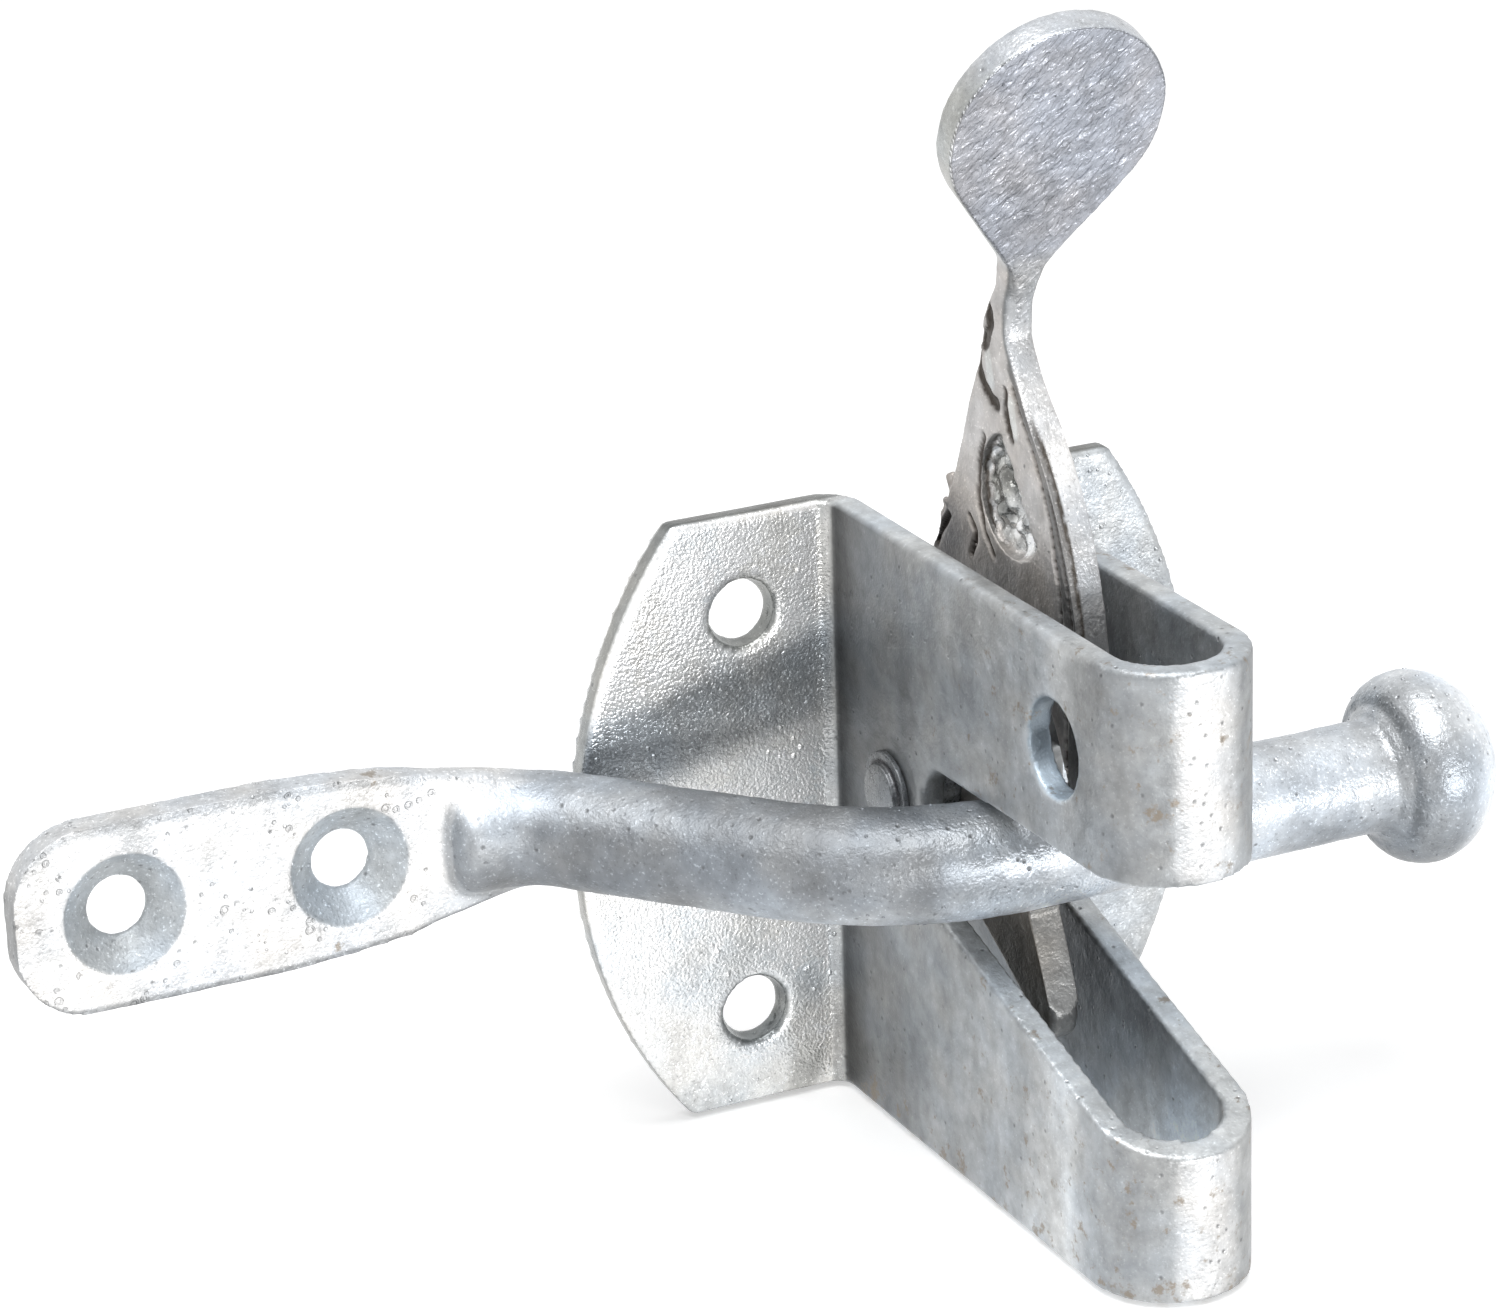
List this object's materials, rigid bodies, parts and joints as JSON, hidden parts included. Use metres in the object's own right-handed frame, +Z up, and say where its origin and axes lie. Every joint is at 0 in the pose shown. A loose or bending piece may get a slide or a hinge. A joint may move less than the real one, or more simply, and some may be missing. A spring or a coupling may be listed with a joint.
{
  "type": "gate latch",
  "caption": "Self-locking galvanised gate latch: a folded strap body with a mouth and padlock hole, a forked thumb lever turning on a rivet, and a cranked striker bar with a ball end.",
  "frame": {"origin": "centre of the four screw holes, on the back face of the plate's flanges", "axes": "+X along the gate towards the striker's ball end, +Y into the post behind the plate, +Z up"},
  "size_m": [0.1593, 0.0693, 0.131],
  "materials": {
    "galvanised_strap": "hot-dip zinc, satin, sparkling in places, with fine grains and a few brown specks",
    "galvanised_rivet": "hot-dip zinc, satin",
    "galvanised_lever": "hot-dip zinc, hammered paddle face, cracked and flaked skin on the blade",
    "galvanised_bar": "hot-dip zinc, satin, with small pits and bubbles"
  },
  "bodies": {
    "latch": {"latch_body": "galvanised_strap", "pivot_rivet": "galvanised_rivet"},
    "lever": {"thumb_lever": "galvanised_lever"},
    "striker": {"striker_bar": "galvanised_bar"}
  },
  "joints": [
    {"name": "lever_turn", "type": "hinge", "parent": "latch", "child": "lever", "pos_m": [0, -0.0162, 0.005], "axis": [1, 0, 0], "range_deg": [0, 41.4]},
    {"name": "striker_slide", "type": "slide", "parent": "latch", "child": "striker", "axis": [0, -1, 0], "range_m": [0, 0.06]}
  ]
}
